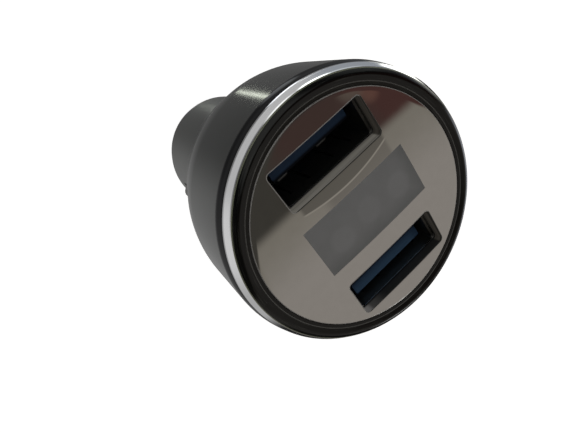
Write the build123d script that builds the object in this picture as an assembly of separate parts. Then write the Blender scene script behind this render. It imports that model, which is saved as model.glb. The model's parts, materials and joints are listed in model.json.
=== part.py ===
from build123d import *
import os

# A round dual-port USB charger with a voltmeter, for a vehicle's 12 V socket. Sizes are in millimetres.
# +Z runs out of the face along the plug's axis, +X along the port slots and +Y towards the upper port.
# The origin is on the axis, at the shoulder where the plug's barrel meets the back of the head.

# Clearances
fit_gap = 0.05
slip_gap = 0.1
lead_gap = 0.1
part_gap = 0.3

# Head: a shell with a coned back, a side that widens a little towards the face and a rounded front shoulder
head_length = 23.0
head_cone_inset = 2.12
head_waist_height = 8.2
head_waist_round = 16.0
head_side_flare = 0.25
head_shoulder_depth = 3.37
head_shoulder_drop = 0.27
head_rim_drop = 2.02
head_back_chamfer = 0.3
head_rim_wall = 1.55
head_floor = 1.6
seat_shelf = 1.85
port_board_height = 6.0

# Trim ring and bezel
trim_slope = 0.5
trim_lip = 0.5
trim_height = 1.09
trim_groove_height = 0.56
trim_groove_width = 0.3
trim_groove_depth = 0.12
bezel_width = 1.28
bezel_crown_inset = 0.65
bezel_crown_height = 0.5
bezel_step_width = 0.48
bezel_step_height = 0.3
bezel_edge_round = 0.3

# Lens with its mirror film, which is cut away at the ports and the display
lens_edge_margin = 0.753
lens_thickness = 2.0
lens_crown_radius = 143.0
lens_chamfer = 0.1
film_margin = 0.12
film_thickness = 0.1
slot_corner = 0.5
port_display_gap = 1.1
window_width = 14.9
window_height = 6.66
window_shift = 0.3

# Moulded frame behind the film
plate_thickness = 1.6
pillar_radius = 1.2
pillar_y = 8.0
pillar_shell_gap = 1.85
screw_pillar_radius = 1.4
screw_pillar_gap = 0.2

# Ports
shell_width = 13.1
shell_height = 5.72
shell_sheet = 0.3
shell_corner = 0.6
leg_width = 1.6
tab_width = 2.4
tab_length = 5.5
tab_spread = 6.4
tab_root_drop = 1.9
tab_slit = 0.3
tab_bump_radius = 0.28
tab_bump_length = 1.5
tongue_width = 11.1
tongue_thickness = 1.84
tongue_drop = 3.6
insulator_base = 2.6
contact_width = 1.0
contact_sheet = 0.25
contact_positions = (-3.5, -1.0, 1.0, 3.5)
contact_drop = 0.8
solder_tail = 1.1

# Voltmeter display
filter_thickness = 0.6
module_width = 18.0
module_height = 9.0
module_depth = 6.0
digit_count = 3
digit_pitch = 4.9
digit_width = 3.2
digit_height = 5.6
bar_stroke = 0.7
bar_gap = 0.15
bar_depth = 0.3
point_radius = 0.4
display_pin_radius = 0.25
display_pin_pitch = 2.0
display_pins_in_row = 6
display_pin_inset = 0.6

# Port board, its screws and its chip
port_board_thickness = 1.2
screw_radius = 0.8
screw_head_radius = 1.6
screw_head_height = 1.0
screw_length = 5.5
screw_hole_gap = 0.2
cross_width = 0.5
cross_length = 2.0
cross_depth = 0.5
chip_leg_pitch = 1.27
chip_leg_width = 0.42
chip_leg_reach = 0.9
chip_leg_thickness = 0.25
chip_legs_in_row = 4
chip_length = 4.9
chip_width = 3.9
chip_height = 1.45
chip_standoff = 0.1
meter_chip_x = 2.8

# Converter board along the axis, with the step-down parts on its two faces
board_thickness = 1.0
board_edge_gap = 0.35
board_tip_space = 2.9
link_pin_side = 0.5
link_pin_pitch = 1.3
link_pin_count = 4
link_pin_margin = 1.0
link_pin_rise = 0.9
inductor_radius = 4.2
inductor_height = 5.0
inductor_flange = 0.8
inductor_core_radius = 1.9
winding_margin = 0.3
can_radius = 3.15
can_length = 7.7
input_can_rise = 0.4
can_bead_depth = 0.25
can_bead_position = 1.6
can_round = 0.35
diode_length = 4.3
diode_width = 2.6
diode_height = 2.2
chip_part_length = 2.0
chip_part_width = 1.25
chip_part_height = 0.6
chip_part_inset = 1.7
chip_part_drop = 5.2
chip_part_pitch = 3.5
chip_parts_in_column = 4
small_part_gap = 0.02

# Plug: a barrel held by its flange, with a window on each side for the ground contacts
barrel_radius = 10.4
barrel_straight = 8.0
barrel_taper = 0.3
barrel_length = 24.5
barrel_wall = 1.2
barrel_neck_step = 0.2
barrel_end_round = 0.5
flange_thickness = 1.5
window_length = 11.4
window_end_margin = 4.8
window_side_gap = 0.2

# Ground contacts: bowed strips that press in through the windows by their travel
shoe_width = 4.0
shoe_sheet = 0.4
shoe_rise = 1.0
shoe_travel = 1.3
shoe_tab_gap = 0.12
shoe_tab_length = 1.5
wiper_overlap = 1.4
wiper_sheet = 0.4
wiper_width = 1.2
wiper_gap = 0.05

# Nose cap, sprung tip and the plate that the spring presses on
nose_step = 0.4
nose_straight = 1.5
nose_length = 6.5
nose_end_radius = 6.5
nose_end_round = 1.0
nose_flange_gap = 0.9
nose_seat_height = 3.0
nose_spigot_length = 2.2
nose_spigot_wall = 1.55
tip_radius = 3.3
tip_reach = 3.0
tip_round = 1.6
tip_flange_width = 1.3
tip_flange_thickness = 1.4
tip_boss_height = 0.8
tip_running_gap = 0.06
spring_radius = 2.4
spring_wire_radius = 0.2
spring_turns = 4
spring_boss_gap = 0.4
plate_disc_radius = 5.5
plate_disc_thickness = 0.6

# The face's radii, from the ports and the display that it has to hold out to the head's side
slot_width = shell_width + 2 * fit_gap
slot_height = shell_height - 2 * shell_sheet + fit_gap
port_offset = (module_height + shell_height) / 2 + port_display_gap
slot_corner_reach = ((slot_width / 2) ** 2 + (port_offset + slot_height / 2) ** 2) ** 0.5
lens_radius = slot_corner_reach + lens_edge_margin
bezel_bore_radius = lens_radius + fit_gap
bezel_step_radius = bezel_bore_radius + bezel_step_width
bezel_outer_radius = bezel_bore_radius + bezel_width
trim_inner_radius = bezel_outer_radius + fit_gap
trim_top_radius = trim_inner_radius + trim_lip
bezel_crown_radius = trim_top_radius - bezel_crown_inset
head_rim_radius = trim_top_radius + trim_slope
head_shoulder_radius = head_rim_radius + head_shoulder_drop
head_waist_radius = head_shoulder_radius - head_side_flare
head_back_radius = head_waist_radius - head_cone_inset
head_bore_radius = head_rim_radius - head_rim_wall
seat_bore_radius = head_bore_radius - seat_shelf

# Heights that follow from the face inwards, and what they place
head_rim_height = head_length - head_rim_drop
head_shoulder_height = head_length - head_shoulder_depth
trim_top_height = head_rim_height + trim_height
lens_back = head_length - lens_thickness
lens_rim_height = head_length - lens_crown_radius + (lens_crown_radius**2 - lens_radius**2) ** 0.5
film_back = lens_back - film_thickness
film_radius = lens_radius - film_margin
plate_back = film_back - plate_thickness
plate_radius = head_bore_radius - slip_gap
shell_mouth = film_back - fit_gap
shell_inner_corner = shell_corner - shell_sheet
tongue_tip = head_length - tongue_drop
filter_back = film_back - filter_thickness
module_back = filter_back - module_depth
display_pin_row = module_height / 2 - display_pin_inset
pillar_x = shell_width / 2 + pillar_shell_gap + pillar_radius
screw_pillar_x = module_width / 2 + screw_pillar_gap + screw_pillar_radius
port_board_top = port_board_height + port_board_thickness
port_board_radius = head_bore_radius - slip_gap
solder_low = port_board_height - solder_tail

# Radii and heights that follow down the plug
barrel_bore_radius = barrel_radius - barrel_wall
barrel_end_radius = barrel_radius - barrel_taper
barrel_neck_radius = barrel_radius - barrel_neck_step
flange_radius = seat_bore_radius - part_gap
window_bottom = window_end_margin - barrel_length
window_top = window_bottom + window_length
shoe_bow_top = window_top - part_gap
shoe_bow_bottom = window_bottom + part_gap
shoe_crest = barrel_radius + shoe_rise
shoe_tab_reach = ((barrel_bore_radius - shoe_tab_gap) ** 2 - (shoe_width / 2) ** 2) ** 0.5
board_half_width = shoe_tab_reach - shoe_sheet - shoe_travel - board_edge_gap
wiper_inner = board_half_width - wiper_overlap
board_tip_height = board_tip_space - barrel_length
link_pin_start = link_pin_margin - board_half_width
chip_span = chip_width + 2 * chip_leg_reach
winding_radius = inductor_radius - winding_margin
input_can_top = board_tip_height + input_can_rise + can_length
regulator_centre = input_can_top + part_gap + chip_span / 2
inductor_centre = regulator_centre + chip_span / 2 + part_gap + inductor_radius
output_can_top = inductor_centre + inductor_radius
link_pin_low = output_can_top + part_gap
diode_centre = output_can_top - can_length - part_gap - diode_width / 2
chip_part_top = output_can_top - chip_part_drop
chip_part_x = board_half_width - chip_part_inset
nose_radius = barrel_end_radius - nose_step
nose_end = -barrel_length - nose_length
nose_seat = nose_end + nose_seat_height
nose_spigot_radius = barrel_bore_radius - fit_gap
nose_spigot_bore = nose_spigot_radius - nose_spigot_wall
tip_flange_radius = tip_radius + tip_flange_width
tip_flange_low = nose_seat + fit_gap
tip_flange_top = tip_flange_low + tip_flange_thickness
tip_boss_radius = spring_radius - spring_wire_radius - spring_boss_gap
nose_bore_radius = tip_flange_radius + nose_flange_gap
spring_seat = board_tip_height - plate_disc_thickness


def ring(points):
    """A body turned about Z from (radius, height) points."""
    return revolve(Plane.XZ * make_face(Polyline(*points, close=True)), Axis.Z)


def rod(radius, low, high, x=0.0, y=0.0):
    """An upright round bar."""
    bar = Cylinder(radius, high - low, align=(Align.CENTER, Align.CENTER, Align.MIN))
    return Pos(x, y, low) * bar


def block(width, depth, low, high, x=0.0, y=0.0):
    """An upright bar with square corners."""
    bar = Box(width, depth, high - low, align=(Align.CENTER, Align.CENTER, Align.MIN))
    return Pos(x, y, low) * bar


def prism(width, depth, corner, low, high, x=0.0, y=0.0):
    """An upright bar with rounded corners."""
    return Pos(x, y, low) * extrude(RectangleRounded(width, depth, corner), high - low)


def circles_at(part, radius, height):
    """The part's circular edges of one radius at one height."""
    return [
        e
        for e in part.edges().filter_by(GeomType.CIRCLE)
        if abs(e.radius - radius) < 1e-3 and abs(e.arc_center.Z - height) < 1e-3
    ]


def both_ports(make):
    """One piece for the upper port, and the same piece turned half round for the lower port."""
    piece = make()
    return piece, Rot(0, 0, 180) * piece


def head_shell():
    """The outer shell: coned back, widening side, rounded front shoulder, stepped bore."""
    side = [
        (barrel_neck_radius + fit_gap, 0),
        (head_back_radius, 0),
        (head_waist_radius, head_waist_height),
        (head_shoulder_radius, head_shoulder_height),
    ]
    bore = [
        (head_rim_radius, head_rim_height),
        (head_bore_radius, head_rim_height),
        (head_bore_radius, port_board_height),
        (seat_bore_radius, port_board_height),
        (seat_bore_radius, head_floor),
        (barrel_neck_radius + fit_gap, head_floor),
        side[0],
    ]
    rise = (side[3][0] - side[2][0], side[3][1] - side[2][1])
    shoulder = TangentArc(side[3], bore[0], tangent=rise)
    profile = make_face(Polyline(*side) + shoulder + Polyline(*bore))
    waist = profile.vertices().sort_by_distance(side[2])[0]
    shell = revolve(Plane.XZ * fillet(waist, head_waist_round), Axis.Z)
    return chamfer(circles_at(shell, head_back_radius, 0), head_back_chamfer)


def trim_ring():
    """The polished ring on the head's rim, with a groove round its sloping face."""

    def face_radius(height):
        return head_rim_radius + (trim_top_radius - head_rim_radius) * height / trim_height

    low = trim_groove_height - trim_groove_width / 2
    high = trim_groove_height + trim_groove_width / 2
    outline = [
        (trim_inner_radius, 0),
        (head_rim_radius, 0),
        (face_radius(low), low),
        (face_radius(trim_groove_height) - trim_groove_depth, trim_groove_height),
        (face_radius(high), high),
        (trim_top_radius, trim_height),
        (trim_inner_radius, trim_height),
    ]
    return ring([(radius, head_rim_height + height) for radius, height in outline])


def bezel_ring():
    """The black ring round the lens, whose lip covers the inner edge of the trim ring."""
    crown = trim_top_height + bezel_crown_height
    outline = [
        (bezel_bore_radius, head_rim_height),
        (bezel_outer_radius, head_rim_height),
        (bezel_outer_radius, trim_top_height),
        (trim_top_radius, trim_top_height),
        (bezel_crown_radius, crown),
        (bezel_step_radius, trim_top_height + bezel_step_height),
        (bezel_bore_radius, lens_rim_height),
    ]
    bezel = ring(outline)
    return fillet(circles_at(bezel, bezel_crown_radius, crown), bezel_edge_round)


def slot_cut(low, high):
    """The rounded slot through the face at the upper port."""
    return prism(slot_width, slot_height, slot_corner, low, high, y=port_offset)


def face_lens():
    """The clear face plate with its crowned front and the two port slots."""
    crown = Pos(0, 0, head_length - lens_crown_radius) * Sphere(lens_crown_radius)
    lens = rod(lens_radius, lens_back, head_length) & crown
    lens = chamfer(circles_at(lens, lens_radius, lens_rim_height), lens_chamfer)
    upper, lower = both_ports(lambda: slot_cut(lens_back, head_length))
    return lens - upper - lower


def mirror_film():
    """The mirror layer on the back of the lens, open at the ports and the display."""
    upper, lower = both_ports(lambda: slot_cut(film_back, lens_back))
    window = block(window_width, window_height, film_back, lens_back, x=window_shift)
    return rod(film_radius, film_back, lens_back) - upper - lower - window


def pillar_places():
    """The plain pillars' centres."""
    return [(sx * pillar_x, sy * pillar_y) for sx in (-1, 1) for sy in (-1, 1)]


def port_frame():
    """The plate behind the film, on pillars that stand on the port board."""
    plate = rod(plate_radius, plate_back, film_back)
    width, height = shell_width + 2 * slip_gap, shell_height + 2 * slip_gap
    for side in (-1, 1):
        plate -= prism(width, height, shell_corner, plate_back, film_back, y=side * port_offset)
    plate -= block(module_width + 2 * slip_gap, module_height + 2 * slip_gap, plate_back, film_back)
    for x, y in pillar_places():
        plate += rod(pillar_radius, port_board_top, plate_back, x, y)
    for side in (-1, 1):
        x = side * screw_pillar_x
        plate += rod(screw_pillar_radius, port_board_top, plate_back, x)
        pilot = port_board_height + screw_length + fit_gap
        plate -= rod(screw_radius + fit_gap, port_board_top, pilot, x)
    return plate


def spring_tabs(side):
    """The slits that free the two tabs of one long wall, and the bump on each tab."""
    wall = port_offset + side * (shell_height - shell_sheet) / 2
    top = shell_mouth - tab_root_drop
    low = top - tab_length
    slits, bumps = [], []
    for x in (-tab_spread / 2, tab_spread / 2):
        for edge in (-1, 1):
            offset = x + edge * (tab_width + tab_slit) / 2
            slits.append(block(tab_slit, 2 * shell_sheet, low, top, offset, wall))
        slits.append(block(tab_width + 2 * tab_slit, 2 * shell_sheet, low - tab_slit, low, x, wall))
        inner = wall - side * shell_sheet / 2
        bump = Rot(0, 90, 0) * Cylinder(tab_bump_radius, tab_bump_length)
        bumps.append(Pos(x, inner, low + 2 * tab_bump_radius) * bump)
    return slits, bumps


def usb_shell():
    """The folded sheet shell of the upper port, with its spring tabs and its board legs."""
    shell = prism(shell_width, shell_height, shell_corner, port_board_top, shell_mouth, y=port_offset)
    inside = (shell_width - 2 * shell_sheet, shell_height - 2 * shell_sheet)
    shell -= prism(*inside, shell_inner_corner, port_board_top, shell_mouth, y=port_offset)
    for side in (-1, 1):
        slits, bumps = spring_tabs(side)
        for slit in slits:
            shell -= slit
        for bump in bumps:
            shell += bump
        shell += shell_leg(side, leg_width, shell_sheet)
    return shell


def shell_leg(side, width, sheet):
    """One board leg at the side of the upper port's shell."""
    x = side * (shell_width - shell_sheet) / 2
    return block(sheet, width, solder_low, port_board_top + leg_width, x, port_offset)


def contact_strip(x, gap=0.0):
    """One straight contact strip of the upper port, or the cut that it passes through."""
    width, sheet = contact_width + 2 * gap, contact_sheet + 2 * gap
    y = port_offset + contact_sheet / 2
    return block(width, sheet, solder_low, tongue_tip - contact_drop, x, y)


def usb_contacts():
    """The four contact strips of the upper port."""
    return Compound([contact_strip(x) for x in contact_positions])


def usb_insulator():
    """The blue base block and the tongue of the upper port, grooved for the contact strips."""
    base_top = port_board_top + insulator_base
    width = shell_width - 2 * shell_sheet - 2 * fit_gap
    height = shell_height - 2 * shell_sheet - 2 * fit_gap
    body = prism(width, height, shell_inner_corner, port_board_top, base_top, y=port_offset)
    tongue_y = port_offset + tongue_thickness / 2
    body += block(tongue_width, tongue_thickness, base_top, tongue_tip, y=tongue_y)
    for x in contact_positions:
        body -= contact_strip(x)
    return body


def bar_outline(width, height):
    """The centres and sizes of a digit's seven bars, as (x, y, width, height)."""
    reach_x = width - bar_stroke
    reach_y = (height - bar_stroke) / 2
    across = [(0, i * reach_y, reach_x - bar_stroke - 2 * bar_gap, bar_stroke) for i in (-1, 0, 1)]
    tall = reach_y - bar_stroke - 2 * bar_gap
    upright = [
        (i * reach_x / 2, j * reach_y / 2, bar_stroke, tall + bar_stroke) for i in (-1, 1) for j in (-1, 1)
    ]
    return across + upright


def display_segments():
    """The bars and points of the display's digits, let into the module's face."""
    low = filter_back - bar_depth
    bars = []
    for i in range(digit_count):
        centre = window_shift + (i - (digit_count - 1) / 2) * digit_pitch
        for x, y, width, height in bar_outline(digit_width, digit_height):
            bars.append(block(width, height, low, filter_back, centre + x, y))
        point_x = centre + digit_width / 2 + 2 * point_radius
        bars.append(rod(point_radius, low, filter_back, point_x, (bar_stroke - digit_height) / 2))
    return Compound(bars)


def display_module(segments):
    """The display's cast body with recesses for its bars."""
    body = block(module_width, module_height, module_back, filter_back)
    for bar in segments.solids():
        body -= bar
    return body


def display_filter():
    """The smoked plate between the display and the window."""
    return block(module_width - 2 * slip_gap, module_height - 2 * slip_gap, filter_back, film_back)


def display_pin_places():
    """The display's two rows of pins."""
    start = -(display_pins_in_row - 1) / 2 * display_pin_pitch
    row = [start + i * display_pin_pitch for i in range(display_pins_in_row)]
    return [(x, side * display_pin_row) for x in row for side in (-1, 1)]


def display_pins():
    """The pins that hold the display over the port board."""
    pins = [rod(display_pin_radius, solder_low, module_back, x, y) for x, y in display_pin_places()]
    return Compound(pins)


def link_pin(i, gap=0.0):
    """One square pin that joins the converter board to the port board."""
    x = link_pin_start + i * link_pin_pitch
    y = (board_thickness + link_pin_side) / 2
    side = link_pin_side + 2 * gap
    return block(side, side, link_pin_low, port_board_top + link_pin_rise, x, y)


def link_pins():
    """The row of square pins between the two boards."""
    return Compound([link_pin(i) for i in range(link_pin_count)])


def port_board():
    """The round board that carries the ports and the display, drilled for everything soldered to it."""
    board = rod(port_board_radius, port_board_height, port_board_top)
    cuts = [contact_strip(x, lead_gap) for x in contact_positions]
    cuts += [shell_leg(side, leg_width + 2 * lead_gap, shell_sheet + 2 * lead_gap) for side in (-1, 1)]
    for cut in cuts:
        board = board - cut - Rot(0, 0, 180) * cut
    for x, y in display_pin_places():
        board -= rod(display_pin_radius + lead_gap, port_board_height, port_board_top, x, y)
    for i in range(link_pin_count):
        board -= link_pin(i, lead_gap)
    for side in (-1, 1):
        radius = screw_radius + screw_hole_gap
        board -= rod(radius, port_board_height, port_board_top, side * screw_pillar_x)
    return board


def board_screw(x):
    """One pan-head screw from under the port board into its pillar."""
    low = port_board_height - screw_head_height
    screw = rod(screw_radius, port_board_height, port_board_height + screw_length, x)
    head = rod(screw_head_radius, low, port_board_height, x)
    head = fillet(circles_at(head, screw_head_radius, low), screw_head_height / 2)
    cross = block(cross_length, cross_width, low, low + cross_depth, x)
    cross += block(cross_width, cross_length, low, low + cross_depth, x)
    return screw + head - cross


def board_screws():
    """The two screws that hold the frame to the port board."""
    return Compound([board_screw(side * screw_pillar_x) for side in (-1, 1)])


def leaded_chip():
    """A small chip lying on the plane z = 0, its legs in two rows along X."""
    body = block(chip_length, chip_width, chip_standoff, chip_height)
    start = -(chip_legs_in_row - 1) / 2 * chip_leg_pitch
    middle = (chip_height + chip_standoff) / 2
    for i in range(chip_legs_in_row):
        for side in (-1, 1):
            x = start + i * chip_leg_pitch
            shoulder_y = side * (chip_width + chip_leg_thickness) / 2
            foot_y = side * (chip_width + chip_leg_reach) / 2
            body += block(chip_leg_width, chip_leg_thickness, 0, middle, x, shoulder_y)
            body += block(chip_leg_width, chip_leg_reach, 0, chip_leg_thickness, x, foot_y)
    return body


def on_board_face(piece, height, x=0.0, side=1):
    """Seat a piece made on the plane z = 0 against one face of the converter board."""
    face = board_thickness / 2 + small_part_gap
    laid = Rot(0, 0, 0 if side > 0 else 180) * Rot(-90, 0, 0) * piece
    return Pos(x, side * face, height) * laid


def inductor_core():
    """The drum core: two flanges on a post."""
    core = rod(inductor_core_radius, 0, inductor_height)
    core += rod(inductor_radius, 0, inductor_flange)
    core += rod(inductor_radius, inductor_height - inductor_flange, inductor_height)
    return on_board_face(core, inductor_centre)


def inductor_winding():
    """The copper winding between the drum's flanges."""
    low = inductor_flange + fit_gap
    high = inductor_height - inductor_flange - fit_gap
    winding = rod(winding_radius, low, high) - rod(inductor_core_radius + fit_gap, low, high)
    return on_board_face(winding, inductor_centre)


def capacitor_can(top, side):
    """An electrolytic can lying along a face of the converter board, its beaded end down."""
    bead = top - can_length + can_bead_position
    can = rod(can_radius, top - can_length, top)
    ends = circles_at(can, can_radius, top) + circles_at(can, can_radius, top - can_length)
    can = fillet(ends, can_round)
    outer, inner = can_radius + can_bead_depth, can_radius - can_bead_depth
    can -= ring([(outer, bead - can_bead_depth), (outer, bead + can_bead_depth), (inner, bead)])
    return Pos(0, side * (board_thickness / 2 + small_part_gap + can_radius), 0) * can


def rectifier_diode():
    """The flat diode on the converter board's back face."""
    body = block(diode_length, diode_width, 0, diode_height)
    return on_board_face(body, diode_centre, side=-1)


def chip_parts():
    """The small resistors and capacitors in columns on both faces of the converter board."""
    part = block(chip_part_width, chip_part_length, 0, chip_part_height)
    heights = [chip_part_top - i * chip_part_pitch for i in range(chip_parts_in_column)]
    places = [(z, x, side) for z in heights for x in (-chip_part_x, chip_part_x) for side in (-1, 1)]
    return Compound([on_board_face(part, *place) for place in places])


def converter_board():
    """The long board down the barrel, between the port board and the spring's plate."""
    return block(2 * board_half_width, board_thickness, board_tip_height, port_board_height)


def barrel():
    """The plug's tube with its flange inside the head and a window on each side."""
    outline = [
        (barrel_bore_radius, -barrel_length),
        (barrel_end_radius, -barrel_length),
        (barrel_radius, -barrel_straight),
        (barrel_radius, 0),
        (barrel_neck_radius, 0),
        (barrel_neck_radius, head_floor),
        (flange_radius, head_floor),
        (flange_radius, head_floor + flange_thickness),
        (barrel_bore_radius, head_floor + flange_thickness),
    ]
    tube = ring(outline)
    tube = fillet(circles_at(tube, barrel_end_radius, -barrel_length), barrel_end_round)
    width = shoe_width + 2 * window_side_gap
    return tube - block(2 * shoe_crest, width, window_bottom, window_top)


def ground_contact():
    """The contact on the +X side: a bow through the window, a tab at each end and a wiper on the board."""
    inner_tab, inner_crest = shoe_tab_reach - shoe_sheet, shoe_crest - shoe_sheet
    middle = (shoe_bow_top + shoe_bow_bottom) / 2
    top, bottom = shoe_bow_top + shoe_tab_length, shoe_bow_bottom - shoe_tab_length
    outer_top, outer_bottom = (shoe_tab_reach, shoe_bow_top), (shoe_tab_reach, shoe_bow_bottom)
    inner_top = (inner_tab, shoe_bow_top - shoe_sheet)
    inner_bottom = (inner_tab, shoe_bow_bottom + shoe_sheet)
    outline = ThreePointArc(outer_top, (shoe_crest, middle), outer_bottom)
    outline += Polyline(outer_bottom, (shoe_tab_reach, bottom), (inner_tab, bottom), inner_bottom)
    outline += ThreePointArc(inner_bottom, (inner_crest, middle), inner_top)
    outline += Polyline(inner_top, (inner_tab, top), (shoe_tab_reach, top), outer_top)
    strip = extrude(Plane.XZ * make_face(outline), shoe_width / 2, both=True)
    wiper_y = board_thickness / 2 + wiper_gap + wiper_sheet / 2
    wiper_x = (wiper_inner + inner_tab) / 2
    return strip + block(inner_tab - wiper_inner, wiper_sheet, bottom, bottom + wiper_width, wiper_x, wiper_y)


def nose_cap():
    """The cap that closes the barrel and holds the tip, with a spigot inside the barrel's end."""
    top = -barrel_length
    outline = [
        (nose_bore_radius, nose_seat),
        (tip_radius + tip_running_gap, nose_seat),
        (tip_radius + tip_running_gap, nose_end),
        (nose_end_radius, nose_end),
        (nose_radius, top - nose_straight),
        (nose_radius, top),
        (nose_spigot_radius, top),
        (nose_spigot_radius, top + nose_spigot_length),
        (nose_spigot_bore, top + nose_spigot_length),
        (nose_spigot_bore, top),
        (nose_bore_radius, top - nose_straight),
    ]
    cap = ring(outline)
    return fillet(circles_at(cap, nose_end_radius, nose_end), nose_end_round)


def centre_tip():
    """The centre contact: a round-ended pin, a flange that stops it in the cap and a boss for its spring."""
    low = nose_end - tip_reach
    pin = rod(tip_radius, low, tip_flange_low)
    pin = fillet(circles_at(pin, tip_radius, low), tip_round)
    pin += rod(tip_flange_radius, tip_flange_low, tip_flange_top)
    return pin + rod(tip_boss_radius, tip_flange_top, tip_flange_top + tip_boss_height)


def tip_spring():
    """The coil spring between the tip's flange and the board's plate."""
    low = tip_flange_top + spring_wire_radius + small_part_gap
    high = spring_seat - spring_wire_radius - small_part_gap
    path = Pos(0, 0, low) * Helix((high - low) / spring_turns, high - low, spring_radius)
    start = Plane(path @ 0, z_dir=path % 0)
    return sweep(start * Circle(spring_wire_radius), path, is_frenet=True)


def spring_plate():
    """The brass plate soldered to the board's end, which the tip's spring presses on."""
    return rod(plate_disc_radius, spring_seat, board_tip_height)


def nodes():
    """Every named piece of the charger."""
    segments = display_segments()
    made = {
        "head_shell": head_shell(),
        "trim_ring": trim_ring(),
        "bezel_ring": bezel_ring(),
        "face_lens": face_lens(),
        "mirror_film": mirror_film(),
        "port_frame": port_frame(),
        "display_filter": display_filter(),
        "display_module": display_module(segments),
        "display_segments": segments,
        "display_pins": display_pins(),
        "port_board": port_board(),
        "board_screws": board_screws(),
        "voltmeter_chip": Pos(meter_chip_x, 0, port_board_top) * leaded_chip(),
        "link_pins": link_pins(),
        "converter_board": converter_board(),
        "regulator_chip": on_board_face(leaded_chip(), regulator_centre),
        "inductor_core": inductor_core(),
        "inductor_winding": inductor_winding(),
        "input_capacitor": capacitor_can(input_can_top, 1),
        "output_capacitor": capacitor_can(output_can_top, -1),
        "rectifier_diode": rectifier_diode(),
        "chip_parts": chip_parts(),
        "barrel": barrel(),
        "nose_cap": nose_cap(),
        "centre_tip": centre_tip(),
        "tip_spring": tip_spring(),
        "spring_plate": spring_plate(),
    }
    for name, make in (("shell", usb_shell), ("insulator", usb_insulator), ("contacts", usb_contacts)):
        made[f"usb_{name}_upper"], made[f"usb_{name}_lower"] = both_ports(make)
    made["ground_contact_right"], made["ground_contact_left"] = both_ports(ground_contact)
    return made


os.makedirs("parts", exist_ok=True)
for node, shape in nodes().items():
    export_step(shape, f"parts/{node}.step")
    print(node, round(shape.volume, 2))
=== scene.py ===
# %% [markdown]
# # A charger plug with a mirrored face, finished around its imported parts
# The object is a round plug for a vehicle's power socket. Its head holds two charging ports and a small
# voltmeter behind a slightly domed face, whose front is mirrored all over but for a clear window. The
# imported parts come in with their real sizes, so nothing here moves or scales them. Their meshes are loose
# flat triangles, which is fine for boards and chips but shows facets in a glossy curve. The turned pieces
# that the eye rests on are therefore spun again here as smooth meshes that follow the same outlines.

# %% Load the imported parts
import json
import math
import bmesh
import bpy
from mathutils import Matrix, Vector


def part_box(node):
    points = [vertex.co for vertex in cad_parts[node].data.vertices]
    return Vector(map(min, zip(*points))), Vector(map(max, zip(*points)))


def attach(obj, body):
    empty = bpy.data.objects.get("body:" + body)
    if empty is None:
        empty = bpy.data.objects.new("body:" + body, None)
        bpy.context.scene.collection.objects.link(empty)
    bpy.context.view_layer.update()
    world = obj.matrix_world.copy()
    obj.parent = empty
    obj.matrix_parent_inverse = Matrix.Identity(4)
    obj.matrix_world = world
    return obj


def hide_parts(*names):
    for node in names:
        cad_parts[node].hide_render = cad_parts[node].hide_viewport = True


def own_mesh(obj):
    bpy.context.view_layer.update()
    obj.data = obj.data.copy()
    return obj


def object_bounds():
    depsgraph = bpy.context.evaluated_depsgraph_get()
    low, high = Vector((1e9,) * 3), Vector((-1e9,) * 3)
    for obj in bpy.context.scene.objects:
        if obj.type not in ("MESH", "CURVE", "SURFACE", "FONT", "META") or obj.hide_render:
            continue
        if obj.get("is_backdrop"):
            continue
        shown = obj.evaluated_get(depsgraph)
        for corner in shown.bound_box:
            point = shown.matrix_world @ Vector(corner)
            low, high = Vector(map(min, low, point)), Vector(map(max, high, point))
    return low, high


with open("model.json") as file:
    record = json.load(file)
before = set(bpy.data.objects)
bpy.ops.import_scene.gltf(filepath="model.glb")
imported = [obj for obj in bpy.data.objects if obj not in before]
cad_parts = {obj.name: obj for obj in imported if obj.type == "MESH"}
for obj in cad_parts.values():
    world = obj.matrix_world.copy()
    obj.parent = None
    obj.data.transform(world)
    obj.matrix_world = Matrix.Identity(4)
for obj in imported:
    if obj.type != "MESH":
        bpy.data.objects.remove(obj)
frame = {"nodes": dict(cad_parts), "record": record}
cad_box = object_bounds()
mm = 0.001
nodes = frame["nodes"]
print("packed parts:", len(nodes))
print("overall size in mm:", [round(x / mm, 2) for x in cad_box[1] - cad_box[0]])

# %% [markdown]
# ## The camera
# The photograph was taken from close by, so its perspective is strong: the near edge of the face is much
# larger than the far one. A camera could be placed by eye, but then the ellipses never quite match. Here
# its place and its turn were worked out from the corners of the two ports, whose real size is known.

# %% Set up the camera
photo_width = 577
photo_focal_pixels = 520.1
camera_place = Vector((-16.30, 31.47, 68.89)) * mm
view_right = Vector((0.7236, -0.5348, 0.4364)).normalized()
view_down = Vector((-0.6688, -0.6996, 0.2515)).normalized()
view_back = view_down.cross(view_right)

camera_data = bpy.data.cameras.new("camera")
camera_data.sensor_width = 36
camera_data.lens = photo_focal_pixels * camera_data.sensor_width / photo_width
camera_data.clip_start = 5 * mm
camera_data.clip_end = 20
camera = bpy.data.objects.new("camera", camera_data)
bpy.context.scene.collection.objects.link(camera)
turned = Matrix((view_right, -view_down, view_back)).transposed().to_4x4()
camera.matrix_world = Matrix.Translation(camera_place) @ turned
bpy.context.scene.camera = camera
print("camera lens in mm:", round(camera_data.lens, 2))

# %% [markdown]
# ## Sums with sockets
# A procedural material is a sum of small steps, and wiring each step by hand hides the sum. A node's output
# is wrapped here in a class that knows plus, minus, times and divided by, so that a mask can be written as
# `1 - mask * 0.5`. Every other node is added by one method that takes its type, settings and values.

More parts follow.
